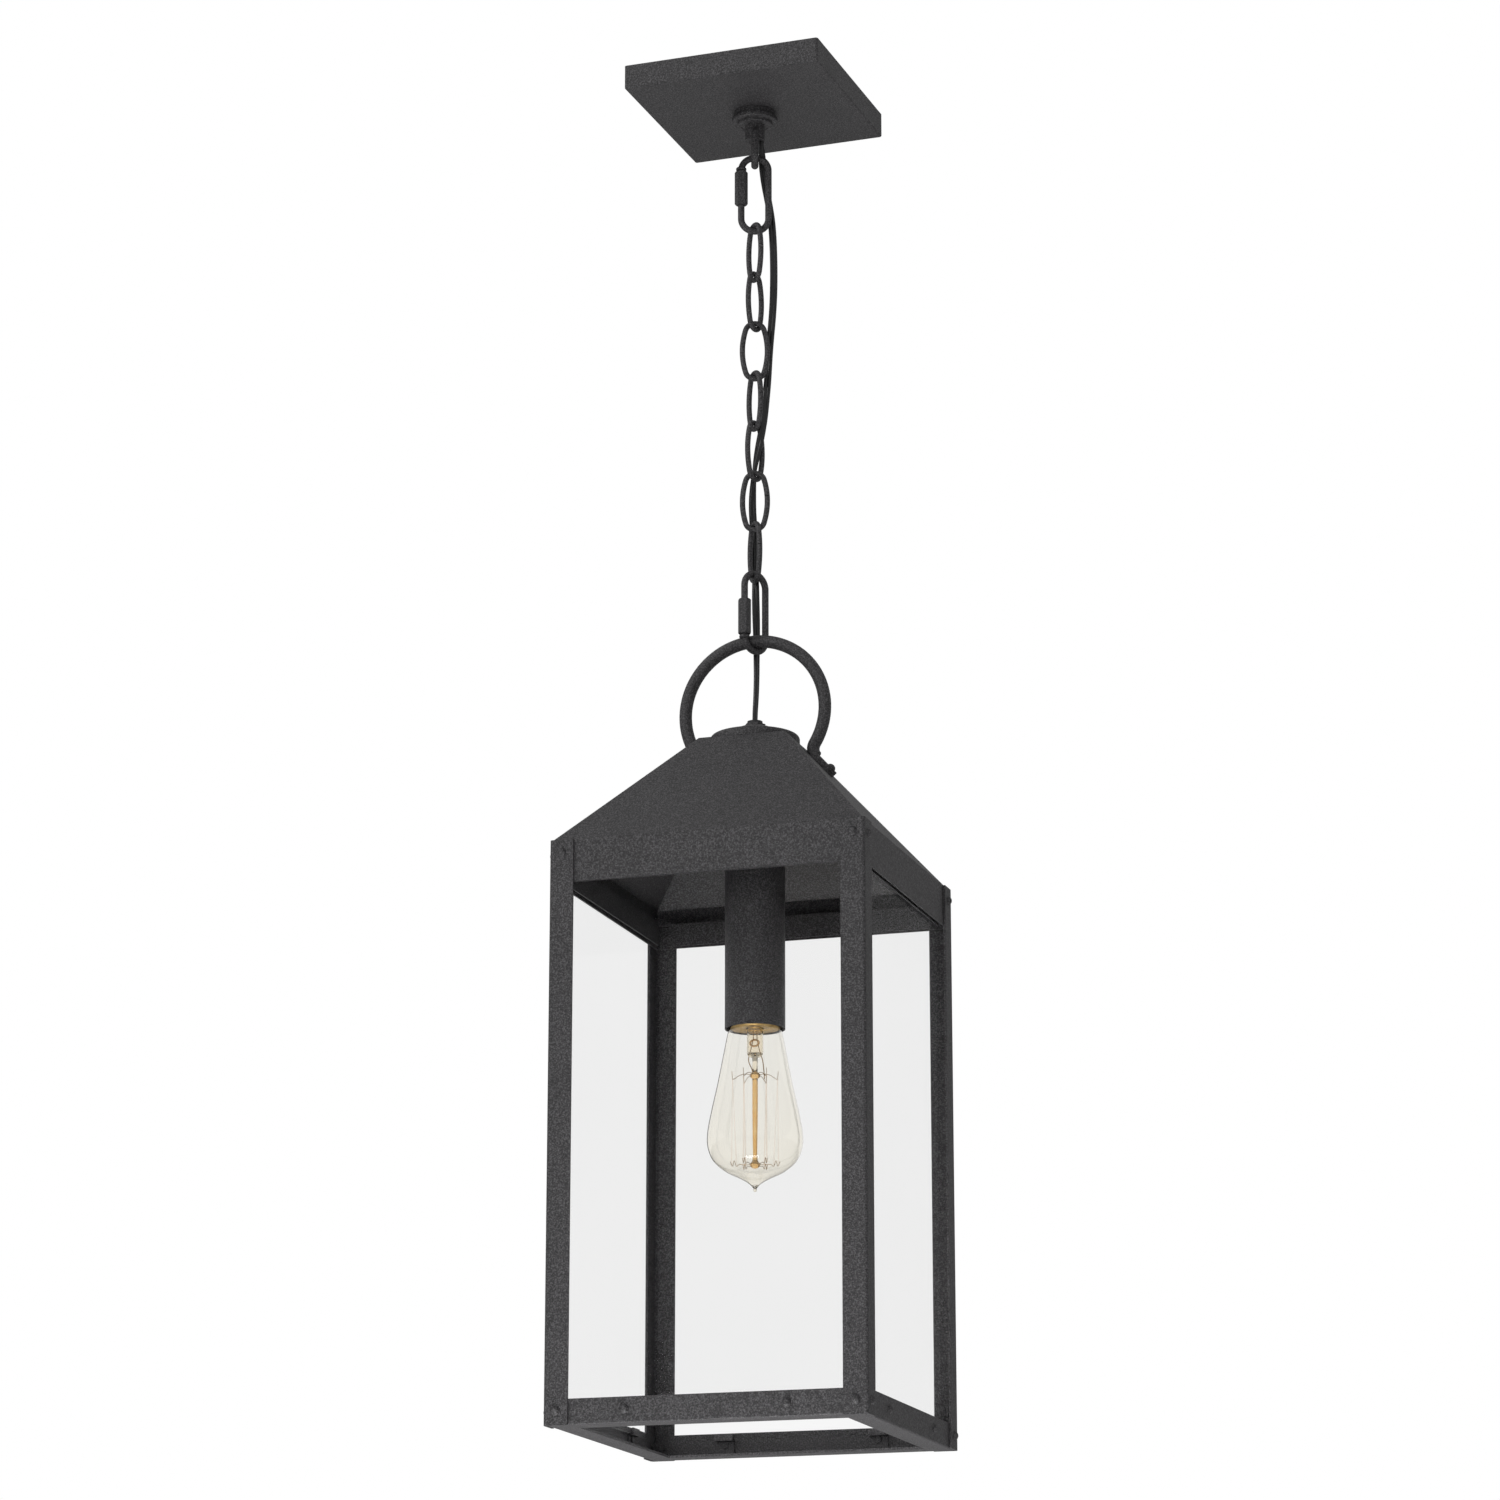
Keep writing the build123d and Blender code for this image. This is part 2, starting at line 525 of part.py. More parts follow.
def lampholder_body():
    """Stepped body on the pipe, open downwards round the brass shell."""
    bore = SHELL_BORE_R + SHELL_WALL + 0.05
    thread = THREAD_R + THREAD_GAP
    return turned_part(
        (thread, HOLDER_TOP), (9, HOLDER_TOP), (HOLDER_R, HOLDER_SHOULDER), (HOLDER_R, HOLDER_RIM),
        (bore, HOLDER_RIM), (bore, HOLDER_FLOOR), (4, HOLDER_FLOOR), (4, PIPE_BOTTOM - 1),
        (thread, PIPE_BOTTOM - 1),
    )


def lampholder_contact():
    """Sprung brass tongue over the bulb's contact."""
    return block((-3.5, 3.5), (-2, 2), (HOLDER_FLOOR - 2.8, HOLDER_FLOOR))


# Bulb


def envelope_section(wall, top):
    """Half section of the bulb's envelope, moved in by a wall's thickness."""
    widest = max(BULB_OUTLINE)[1]
    points = [(r - wall, BULB_CAP_RIM - down + (wall if down > widest else 0)) for r, down in BULB_OUTLINE]
    body = Spline(*points)
    low, high = body @ 1, body @ 0
    neck_r = BULB_NECK_R - wall
    neck = Polyline(low, (0, low.Y), (0, top), (neck_r, top), (neck_r, BULB_CAP_RIM - 0.2), high)
    return Rot(90, 0, 0) * make_face([body, neck])


def bulb_glass():
    """Pear-shaped envelope with an open neck and a sealed tip."""
    outer = revolve(envelope_section(0, BULB_NECK_TOP), Axis.Z)
    envelope = outer - revolve(envelope_section(GLASS_WALL, BULB_NECK_TOP + 1), Axis.Z)
    return envelope + disc(0.8, TIP_Z, BULB_CAP_RIM - BULB_OUTLINE[-1][1]) + Pos(0, 0, TIP_Z) * Sphere(1.2)


def bulb_cap():
    """Screw cap, with one ridge for each turn of its thread."""
    cap = tube(BULB_CAP_R - 0.7, BULB_CAP_R - 1.2, BULB_CAP_RIM, BULB_CAP_TOP)
    ridge = Torus(BULB_CAP_R - 0.9, 0.9) - Cylinder(BULB_CAP_R - 1.0, 4)
    for turn in range(5):
        cap += Pos(0, 0, BULB_CAP_TOP - 3.2 - 3.6 * turn) * ridge
    return cap


def bulb_stem():
    """Glass mount: flared tube, flat pinch, centre rod and its two beads."""
    flare = tube(4.6, 3.4, STEM_END + 8.3, BULB_CAP_RIM + 1.0)
    pinch = block((-5.0, 5.0), (-1.6, 1.6), (STEM_END, STEM_END + 9.3))
    centre_rod = Pos(0, 0, (STEM_END + CAGE_BOTTOM) / 2) * Cylinder(1.5, STEM_END - CAGE_BOTTOM)
    beads = [Pos(0, 0, z) * Sphere(2.6) for z in (CAGE_TOP, CAGE_BOTTOM)]
    return flare + pinch + centre_rod + beads[0] + beads[1]


def cage_angles():
    return [360.0 * n / STRANDS for n in range(STRANDS)]


def bulb_supports():
    """Fine wires that stand out of the two beads."""
    spoke = Rot(0, 90, 0) * Cylinder(0.2, CAGE_R - 3.4)
    spoke = Pos((CAGE_R + 2.6) / 2, 0, 0) * spoke
    return [Rot(0, 0, a) * Pos(0, 0, z) * spoke for z in (CAGE_TOP, CAGE_BOTTOM) for a in cage_angles()[::2]]


def bulb_filament():
    """The upright strands of the squirrel cage."""
    middle = (CAGE_TOP + CAGE_BOTTOM) / 2
    strand = Pos(CAGE_R, 0, middle) * Cylinder(0.15, CAGE_TOP - CAGE_BOTTOM - 2)
    return [Rot(0, 0, a) * strand for a in cage_angles()]


# Supply cord


def cord_radii(points):
    """Each corner's arc: 0.45 of its shorter run over the tangent of half its turn."""
    radii = []
    for before, here, after in zip(points, points[1:], points[2:]):
        run_in, run_out = Vector(here) - Vector(before), Vector(after) - Vector(here)
        half_turn = math.radians(run_in.get_angle(run_out)) / 2
        radii.append(0.45 * min(run_in.length, run_out.length) / math.tan(half_turn))
    return radii


def supply_cord():
    radii = cord_radii(CORD_POINTS)
    path = FilletPolyline(*CORD_POINTS, radius=radii)
    cord = rod(path, CORD_R)
    expected = math.pi * CORD_R**2 * path.length
    print("cord radii", [round(r) for r in radii])
    print("cord length", round(path.length, 1), "volume share", round(cord.volume / expected, 4))
    return cord


def main():
    os.makedirs("parts", exist_ok=True)

    save("mounting_strap", mounting_strap())
    save("mounting_nipple", tube(THREAD_R, PIPE_BORE_R, -13.5, -0.2))
    save("nipple_locknuts", *[hex_nut(NUT_FLATS, NUT_THICK, THREAD_R + THREAD_GAP, z) for z in (-5.1, -8.5)])
    save("ground_screw", ground_screw())
    save("canopy_loop", canopy_loop())
    save("canopy", canopy())
    save("screw_collar", screw_collar())

    upper_middle = Z_UPPER_QUICK_TOP - QUICK_HALF_LENGTH
    lower_middle = Z_LOWER_QUICK_TOP - QUICK_HALF_LENGTH
    for name, middle, turn, up in (
        ("upper", upper_middle, QUICK_UPPER_TURN, 1),
        ("lower", lower_middle, QUICK_LOWER_TURN, -1),
    ):
        place = Pos(0, 0, middle) * Rot(0, 0, turn)
        save(f"quick_link_{name}", place * quick_link(up))
        save(f"quick_nut_{name}", place * quick_nut(up))
    for number in range(len(LINK_TURNS)):
        save(f"chain_link_{number + 1}", chain_link(number))

    save("hanging_ring", hanging_ring())
    save("ring_rivets", *ring_rivets())
    save("roof", roof())
    save("roof_cap", roof_cap())
    save("cap_nut", hex_nut(12.0, 1.4, THREAD_R + THREAD_GAP, Z_ROOF_TOP + CAP_HEIGHT - CAP_FLAT))
    bushing = tube(4.8, 2.5, PIPE_TOP, PIPE_TOP + 1.2) + tube(PIPE_BORE_R - 0.05, 2.5, PIPE_TOP - 6, PIPE_TOP)
    save("cord_bushing", bushing)
    save("lamp_pipe", tube(THREAD_R, PIPE_BORE_R, PIPE_BOTTOM, PIPE_TOP))
    nut_heights = (
        Z_ROOF_TOP, Z_ROOF_TOP - ROOF_SHEET - NUT_THICK, SLEEVE_TOP, SLEEVE_TOP - 1.5 - NUT_THICK
    )
    save("pipe_nuts", *[hex_nut(NUT_FLATS, NUT_THICK, THREAD_R + THREAD_GAP, z) for z in nut_heights])

    sides = ("front", "right", "back", "left")
    corners = ("front_left", "front_right", "back_right", "back_left")
    for corner, post in zip(corners, quarter_turns(corner_post())):
        save(f"corner_post_{corner}", post)
    post_rivet = rivet(-CASE_HALF, CASE_HALF - FRAME_HALF + RAIL_SHEET)
    post_rivet_x = CASE_HALF - POST_LEG / 2
    post_rivets = [
        turned
        for z in (Z_BOTTOM + RIVET_INSET, Z_EAVE - RIVET_INSET)
        for x in (-post_rivet_x, post_rivet_x)
        for turned in quarter_turns(Pos(x, 0, z) * post_rivet)
    ]
    save("post_rivets", *post_rivets)
    long_rail = bottom_rail(2 * FRAME_HALF, 2 * (FRAME_HALF - RAIL_SHEET))
    short_rail = bottom_rail(2 * (FRAME_HALF - RAIL_SHEET), 2 * (FRAME_HALF - RAIL_FLANGE))
    long_pane, short_pane = glass_pane(96.4), glass_pane(93.9)
    for number, side in enumerate(sides):
        turn = Rot(0, 0, 90 * number)
        save(f"bottom_rail_{side}", turn * (short_rail if number % 2 else long_rail))
        save(f"glass_pane_{side}", turn * (short_pane if number % 2 else long_pane))
        save(f"glass_channel_{side}", turn * glass_channel())
    clip_places = (-CLIP_SPACING / 2, CLIP_SPACING / 2)
    save("glass_clips", *[clip for x in clip_places for clip in quarter_turns(glass_clip(x))])
    clip_rivet = rivet(-FRAME_HALF, RAIL_SHEET + CLIP_SHEET, tail_r=2.0, tail_height=0.9)
    placed = [Pos(x, 0, Z_CLIP_RIVET) * clip_rivet for x in clip_places]
    save("clip_rivets", *[turned for one in placed for turned in quarter_turns(one)])

    save("socket_sleeve", socket_sleeve())
    save("lampholder_body", lampholder_body())
    shell = tube(SHELL_BORE_R + SHELL_WALL, SHELL_BORE_R, HOLDER_RIM + 0.5, HOLDER_FLOOR - 2)
    save("lampholder_shell", shell)
    save("lampholder_contact", lampholder_contact())
    save("lamp_lead", disc(CORD_R, PIPE_BOTTOM, CORD_POINTS[-1][2] - 0.02))

    save("bulb_cap", bulb_cap())
    base = BULB_CAP_TOP + 1.1
    insulator = turned_part(
        (0, base), (5, base), (11.4, BULB_CAP_TOP), (11.4, BULB_CAP_TOP - 1.2), (0, BULB_CAP_TOP - 1.2)
    )
    save("bulb_insulator", insulator)
    save("bulb_contact", disc(4.2, base, base + 1.0))
    save("bulb_glass", bulb_glass())
    save("bulb_neck_disc", tube(NECK_DISC_R, NECK_DISC_BORE_R, NECK_DISC_LOW, NECK_DISC_HIGH))
    save("bulb_stem", bulb_stem())
    save("bulb_supports", *bulb_supports())
    save("bulb_filament", *bulb_filament())

    save("supply_cord", supply_cord())


main()
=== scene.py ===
import json
import math

import bmesh
import bpy
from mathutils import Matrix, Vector

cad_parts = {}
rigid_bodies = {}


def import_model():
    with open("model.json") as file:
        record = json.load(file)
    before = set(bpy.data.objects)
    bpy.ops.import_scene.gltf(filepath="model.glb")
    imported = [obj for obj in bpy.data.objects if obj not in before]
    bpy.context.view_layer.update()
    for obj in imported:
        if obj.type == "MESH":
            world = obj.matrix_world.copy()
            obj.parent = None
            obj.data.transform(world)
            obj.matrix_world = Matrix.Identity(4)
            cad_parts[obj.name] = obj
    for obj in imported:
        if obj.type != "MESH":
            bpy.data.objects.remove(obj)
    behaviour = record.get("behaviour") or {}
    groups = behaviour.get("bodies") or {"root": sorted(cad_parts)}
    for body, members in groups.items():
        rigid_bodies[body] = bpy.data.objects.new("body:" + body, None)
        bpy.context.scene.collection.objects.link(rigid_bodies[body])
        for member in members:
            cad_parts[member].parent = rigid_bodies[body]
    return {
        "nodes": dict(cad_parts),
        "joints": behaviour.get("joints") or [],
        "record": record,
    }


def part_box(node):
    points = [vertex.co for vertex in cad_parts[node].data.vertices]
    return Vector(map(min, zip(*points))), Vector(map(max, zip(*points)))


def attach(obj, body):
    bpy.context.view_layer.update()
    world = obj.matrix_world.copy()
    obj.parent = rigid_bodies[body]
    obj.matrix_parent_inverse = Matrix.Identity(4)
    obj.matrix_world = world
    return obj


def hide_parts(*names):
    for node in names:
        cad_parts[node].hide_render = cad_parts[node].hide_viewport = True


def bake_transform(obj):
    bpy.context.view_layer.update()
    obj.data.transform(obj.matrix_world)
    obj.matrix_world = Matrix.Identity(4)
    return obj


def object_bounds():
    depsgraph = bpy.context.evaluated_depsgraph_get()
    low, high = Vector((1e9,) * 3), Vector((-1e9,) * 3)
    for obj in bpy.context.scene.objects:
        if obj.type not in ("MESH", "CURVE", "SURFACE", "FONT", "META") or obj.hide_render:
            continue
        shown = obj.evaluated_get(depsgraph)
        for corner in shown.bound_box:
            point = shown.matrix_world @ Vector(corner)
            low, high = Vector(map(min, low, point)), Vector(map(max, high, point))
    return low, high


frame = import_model()
cad_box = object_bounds()
MM = 0.001
TAU = 2 * math.pi
scene = bpy.context.scene
collection = scene.collection
# Enough for light to cross two panes and the bulb's walls
GLASS_BOUNCES = 24
scene.cycles.max_bounces = GLASS_BOUNCES
scene.cycles.transmission_bounces = GLASS_BOUNCES
scene.cycles.caustics_refractive = False
scene.cycles.caustics_reflective = False


# Camera

CAMERA_AZIMUTH = math.radians(17.53)
CAMERA_BELOW = math.radians(15.3)
CAMERA_REACH = 2.8347
CAMERA_LENS = 108.1
CAMERA_SENSOR = 36.0
CAMERA_CLIP = 50.0
AIM = Vector((-0.0033, 0.0, -0.4476))


def make_camera():
    """The camera stands low, to the right of the front pane, and looks up."""
    level = math.cos(CAMERA_BELOW)
    across = math.sin(CAMERA_AZIMUTH) * level
    away = math.cos(CAMERA_AZIMUTH) * level
    back = Vector((across, -away, -math.sin(CAMERA_BELOW)))
    data = bpy.data.cameras.new("camera")
    data.lens = CAMERA_LENS
    data.sensor_width = CAMERA_SENSOR
    data.clip_end = CAMERA_CLIP
    camera = bpy.data.objects.new("camera", data)
    camera.location = AIM + back * CAMERA_REACH
    camera.rotation_euler = (-back).to_track_quat("-Z", "Y").to_euler()
    collection.objects.link(camera)
    scene.camera = camera


make_camera()


# Supply cord: its route in metres, from the canopy's boss down to the roof cap

CORD_ROUTE = [
    (0.0035, 0.0028, -0.0310), (0.0037, 0.0029, -0.0375), (0.0035, 0.0045, -0.0440),
    (0.0034, 0.0062, -0.0520), (0.0046, 0.0067, -0.0630), (0.0070, 0.0071, -0.0760),
    (0.0092, 0.0073, -0.0900), (0.0104, 0.0068, -0.1060), (0.0109, 0.0065, -0.1240),
    (0.0106, 0.0068, -0.1420), (0.0095, 0.0072, -0.1580), (0.0081, 0.0073, -0.1720),
    (0.0072, 0.0069, -0.1860), (0.0068, 0.0059, -0.2000), (0.0060, 0.0044, -0.2140),
    (0.0053, 0.0026, -0.2280), (0.0033, 0.0025, -0.2390), (0.0006, 0.0032, -0.2500),
    (-0.0015, 0.0041, -0.2605), (-0.0028, 0.0048, -0.2710), (-0.0038, 0.0064, -0.2840),
    (-0.0037, 0.0084, -0.2970), (-0.0031, 0.0096, -0.3090), (-0.0028, 0.0095, -0.3220),
    (-0.0021, 0.0080, -0.3340), (-0.0015, 0.0064, -0.3470), (-0.0011, 0.0062, -0.3610),
    (-0.0009, 0.0065, -0.3750), (-0.0009, 0.0063, -0.3870), (-0.0002, 0.0042, -0.4000),
    (0.0002, 0.0016, -0.4140), (0.0, 0.0, -0.4245), (0.0, 0.0, -0.4330),
]
# How the cord's flat width turns on the way down: height in metres, and degrees from +X
CORD_TURNS = [
    (-0.031, 106), (-0.038, 100), (-0.050, 14), (-0.062, 10), (-0.083, 6), (-0.098, 17),
    (-0.133, 17), (-0.165, 2), (-0.200, 2), (-0.222, 36), (-0.232, 44), (-0.240, 18), (-0.246, -10),
    (-0.255, -40), (-0.260, -60), (-0.266, -92), (-0.280, -140), (-0.297, -172), (-0.309, -201),
    (-0.321, -212), (-0.334, -200), (-0.350, -170), (-0.370, -130), (-0.381, -112), (-0.400, -100),
    (-0.433, -90),
]
CORE_R = 1.3 * MM
CORE_APART = 2.3 * MM
CORD_WIDTH = CORE_APART + 2 * CORE_R
CORD_WAIST = 0.8 * MM
CORD_SIDES = 32
# The bodies down the chain; each hangs from the one before by a swing joint
CHAIN = (
    ["ceiling_fixing", "upper_link"] + [f"link_{n}" for n in range(1, 8)] + ["lower_link", "lantern"])


def joint_heights():
    """The height of each swing joint down the chain, from the record."""
    places = {(j["parent"], j["child"]): j for j in frame["joints"]}
    return [places[pair]["pos_m"][2] for pair in zip(CHAIN, CHAIN[1:])]


def nurbs_points(route, steps=10):
    """Points along the smooth line whose control points are the route."""
    data = bpy.data.curves.new("route", "CURVE")
    data.dimensions = "3D"
    data.resolution_u = steps
    spline = data.splines.new("NURBS")
    spline.points.add(len(route) - 1)
    for point, place in zip(spline.points, route):
        point.co = (*place, 1.0)
    spline.order_u = 3
    spline.use_endpoint_u = True
    line = bpy.data.objects.new("route", data)
    collection.objects.link(line)
    bpy.context.view_layer.update()
    mesh = bpy.data.meshes.new_from_object(line)
    points = [v.co.copy() for v in mesh.vertices]
    bpy.data.objects.remove(line)
    bpy.data.meshes.remove(mesh)
    return points


def interpolate(table, height):
    """A value read from a table of (height, value) rows that runs downwards."""
    if height >= table[0][0]:
        return table[0][1]
    for (high, first), (low, second) in zip(table, table[1:]):
        if height >= low:
            return first + (second - first) * (high - height) / (high - low)
    return table[-1][1]


def new_object(name, mesh, material, smooth=True):
    """A scene object for a mesh, with its material."""
    piece = bpy.data.objects.new(name, mesh)
    collection.objects.link(piece)
    mesh.materials.append(material)
    if smooth:
        mesh.polygons.foreach_set("use_smooth", [True] * len(mesh.polygons))
    return piece


def twin_section():
    """The outline of two round cores side by side, as (across the cord, through it) points."""
    outline = []
    for n in range(CORD_SIDES):
        angle = TAU * n / CORD_SIDES
        across = math.cos(angle) * CORD_WIDTH / 2
        off_core = abs(abs(across) - CORE_APART / 2)
        through = math.sqrt(max(CORE_R**2 - off_core**2, 0.0))
        if abs(across) < CORE_APART / 2:
            through = max(through, CORD_WAIST)
        outline.append((across, math.copysign(through, math.sin(angle))))
    return outline


def cord_mesh(name, line, first, last, material):
    """A flat twin cord along a line from one point's number to another's, closed at its ends."""
    bm = bmesh.new()
    section = twin_section()
    rings = []
    for n in range(first, last + 1):
        along = (line[min(n + 1, len(line) - 1)] - line[max(n - 1, 0)]).normalized()
        turn = math.radians(interpolate(CORD_TURNS, line[n].z))
        wide = Vector((math.cos(turn), math.sin(turn), 0.0))
        wide = (wide - along * wide.dot(along)).normalized()
        thin = along.cross(wide)
        rings.append([
            bm.verts.new(line[n] + wide * across + thin * through) for across, through in section])
    for upper, lower in zip(rings, rings[1:]):
        for n in range(CORD_SIDES):
            following = (n + 1) % CORD_SIDES
            bm.faces.new((upper[n], upper[following], lower[following], lower[n])).smooth = True
    for ends in (rings[0], list(reversed(rings[-1]))):
        for edge in bm.faces.new(ends).edges:
            edge.smooth = False
    bmesh.ops.recalc_face_normals(bm, faces=bm.faces)
    mesh = bpy.data.meshes.new(name)
    bm.to_mesh(mesh)
    bm.free()
    return new_object(name, mesh, material, smooth=False)


def make_cords(material):
    """The cord in spans, each of which runs across one joint of the chain."""
    line = nurbs_points(CORD_ROUTE)
    joints = joint_heights()
    cuts = [line[0].z] + [(a + b) / 2 for a, b in zip(joints, joints[1:])] + [line[-1].z]
    places = [min(range(len(line)), key=lambda n: abs(line[n].z - cut)) for cut in cuts]
    for number, joint in enumerate(joints):
        first, last = places[number], places[number + 1]
        span = cord_mesh(f"cord_span_{number + 1:02d}", line, first, last, material)
        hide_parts("supply_cord")
        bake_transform(span)


# Materials

# The colour sockets of a Mix node, whose names repeat
MIX_FACTOR, MIX_FIRST, MIX_SECOND, MIX_RESULT = 0, 6, 7, 2


class Nodes:
    """Short names for building one material's node tree."""

    def __init__(self, name):
        self.material = bpy.data.materials.new(name)
        self.material.use_nodes = True
        self.tree = self.material.node_tree
        self.shader = self.tree.nodes["Principled BSDF"]
        self.output = self.tree.nodes["Material Output"]
        self.place = self.add("ShaderNodeTexCoord").outputs["Object"]

    def add(self, kind, **settings):
        """A new node; each setting is one of its properties or the value of one of its sockets."""
        node = self.tree.nodes.new(kind)
        for key, value in settings.items():
            if hasattr(node, key):
                setattr(node, key, value)
            else:
                node.inputs[key.replace("_", " ")].default_value = value
        return node

    def link(self, source, target):
        """Joins an output to an input."""
        self.tree.links.new(source, target)

    def set(self, **values):
        """Sets the shader's own sockets."""
        for key, value in values.items():
            self.shader.inputs[key.replace("_", " ")].default_value = value

    def noise(self, size, detail=2.0, roughness=0.5, stretch=(1, 1, 1), seed=0.0):
        """Noise whose lumps are about size metres across."""
        node = self.add("ShaderNodeTexNoise")
        node.inputs["Scale"].default_value = 1.0 / size
        node.inputs["Detail"].default_value = detail
        node.inputs["Roughness"].default_value = roughness
        mapping = self.add("ShaderNodeMapping")
        mapping.inputs["Scale"].default_value = stretch
        mapping.inputs["Location"].default_value = (seed, seed * 0.7, -seed)
        self.link(self.place, mapping.inputs["Vector"])
        self.link(mapping.outputs["Vector"], node.inputs["Vector"])
        return node.outputs["Fac"]

    def ramp(self, source, stops):
        """A colour or grey ramp from (place, colour) stops."""
        node = self.add("ShaderNodeValToRGB")
        elements = node.color_ramp.elements
        while len(elements) < len(stops):
            elements.new(0.5)
        for element, (place, colour) in zip(elements, stops):
            element.position = place
            grey = not hasattr(colour, "__len__")
            element.color = (colour, colour, colour, 1.0) if grey else (*colour, 1.0)
        self.link(source, node.inputs["Fac"])
        return node.outputs["Color"]

    def multiply(self, first, second):
        """One colour multiplied by another."""
        node = self.add("ShaderNodeMix", data_type="RGBA", blend_type="MULTIPLY")
        node.inputs[MIX_FACTOR].default_value = 1.0
        self.link(first, node.inputs[MIX_FIRST])
        self.link(second, node.inputs[MIX_SECOND])
        return node.outputs[MIX_RESULT]

    def bump(self, source, height, strength, before=None):
        """A bump of some height in metres, on top of another where one is given."""
        node = self.add("ShaderNodeBump")
        node.inputs["Strength"].default_value = strength
        node.inputs["Distance"].default_value = height
        self.link(source, node.inputs["Height"])
        if before is not None:
            self.link(before, node.inputs["Normal"])
        return node.outputs["Normal"]

    def shade(self, colour, roughness, normal):
        """Joins the three to the shader, and gives the finished material."""
        for value, socket in ((colour, "Base Color"), (roughness, "Roughness"), (normal, "Normal")):
            self.link(value, self.shader.inputs[socket])
        return self.material


def powder_coat():
    """Matt black powder coat: a fine raised grain whose colour follows its height, with painted shade
    in the pits and a painted highlight on the crests, and faint mottling.
    """
    n = Nodes("powder_coat")
    grain = n.noise(0.95 * MM, detail=2.0, roughness=0.7)
    fine = n.noise(0.5 * MM, detail=1.0, seed=3.1)
    cloud = n.noise(22 * MM, detail=3.0, seed=7.7)
    # Grain colour from the bump's own noise: painted shade in the low pits, a painted highlight on
    # the high crests
    pit_painted_shade, level, crest_painted_highlight = (0.010, 0.0093, 0.0102), (0.031, 0.0296, 0.0315), (0.088, 0.085, 0.089)
    base = n.ramp(grain, [(0.36, pit_painted_shade), (0.50, level), (0.64, crest_painted_highlight)])
    tint = n.ramp(cloud, [(0.3, (0.92, 0.92, 0.925)), (0.7, (1.08, 1.075, 1.08))])
    colour = n.multiply(base, tint)
    rough = n.ramp(fine, [(0.3, 0.50), (0.7, 0.66)])
    lumps = n.bump(grain, 0.35 * MM, 0.9)
    normal = n.bump(fine, 0.12 * MM, 0.7, lumps)
    return n.shade(colour, rough, normal)


# What the bulb's amber glass lets through, from red to blue
STAIN = (0.81, 0.66, 0.30)
# The bulb's height, over which its tint deepens
BULB_LOW, BULB_HIGH = (corner.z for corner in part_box("bulb_glass"))


def lamps_pass(n):
    """Lets the light that falls on other pieces straight through a clear shader."""
    rays = n.add("ShaderNodeLightPath")
    clear = n.add("ShaderNodeBsdfTransparent")
    shader = n.shader.outputs["BSDF"]
    for kind in ("Is Diffuse Ray", "Is Shadow Ray"):
        mixer = n.add("ShaderNodeMixShader")
        n.link(rays.outputs[kind], mixer.inputs["Fac"])
        n.link(shader, mixer.inputs[1])
        n.link(clear.outputs["BSDF"], mixer.inputs[2])
        shader = mixer.outputs["Shader"]
    n.link(shader, n.output.inputs["Surface"])
    return n.material


def pane_glass():
    """Clear float glass with the faintest unevenness and a little dust."""
    n = Nodes("pane_glass")
    wave = n.noise(90 * MM, detail=1.0)
    dust = n.noise(3 * MM, detail=4.0, seed=2.0)
    n.set(Transmission_Weight=1.0, IOR=1.03)
    tint = n.ramp(wave, [(0.3, (0.921, 0.922, 0.921)), (0.7, (0.926, 0.926, 0.926))])
    rough = n.ramp(dust, [(0.45, 0.0), (0.8, 0.012)])
    n.shade(tint, rough, n.bump(wave, 0.02 * MM, 0.2))
    return lamps_pass(n)


def lamp_glass(name, low_tint, high_tint, index, stain):
    """The bulb's glass, whose tint deepens downwards and where it is thick."""
    n = Nodes(name)
    split = n.add("ShaderNodeSeparateXYZ")
    n.link(n.place, split.inputs["Vector"])
    height = n.add("ShaderNodeMapRange")
    height.inputs["From Min"].default_value = BULB_LOW
    height.inputs["From Max"].default_value = BULB_HIGH
    n.link(split.outputs["Z"], height.inputs["Value"])
    tint = n.ramp(height.outputs["Result"], [(0.0, low_tint), (1.0, high_tint)])
    streak = n.noise(14 * MM, detail=1.0, stretch=(1, 1, 0.3))
    rough = n.ramp(streak, [(0.4, 0.0), (0.8, 0.01)])
    n.set(Transmission_Weight=1.0, IOR=index)
    n.shade(tint, rough, n.bump(streak, 0.05 * MM, 0.25))
    inside = n.add("ShaderNodeVolumeAbsorption", Color=(*STAIN, 1.0), Density=stain)
    n.link(inside.outputs["Volume"], n.output.inputs["Volume"])
    return lamps_pass(n)


def rod_glass(name, dark, pale, clear, index):
    """Drawn glass or fine strands, streaked along their length."""
    n = Nodes(name)
    streak = n.noise(2 * MM, detail=2.0, stretch=(1, 1, 0.2))
    colour = n.ramp(streak, [(0.3, dark), (0.7, pale)])
    rough = n.ramp(streak, [(0.3, 0.06), (0.7, 0.16)])
    n.set(Transmission_Weight=clear, IOR=index)
    return n.shade(colour, rough, n.bump(streak, 0.03 * MM, 0.3))


def metal(name, colour, dark, roughness, wear=0.12):
    """Bare metal with a fine grain, tarnish in patches and uneven gloss."""
    n = Nodes(name)
    tarnish = n.noise(5 * MM, detail=4.0, seed=1.3)
    grain = n.noise(0.9 * MM, detail=2.0, seed=4.0)
    base = n.ramp(tarnish, [(0.35, colour), (0.75, dark)])
    rough = n.ramp(grain, [(0.3, roughness - wear / 2), (0.7, roughness + wear / 2)])
    n.set(Metallic=1.0)
    return n.shade(base, rough, n.bump(grain, 0.03 * MM, 0.4))


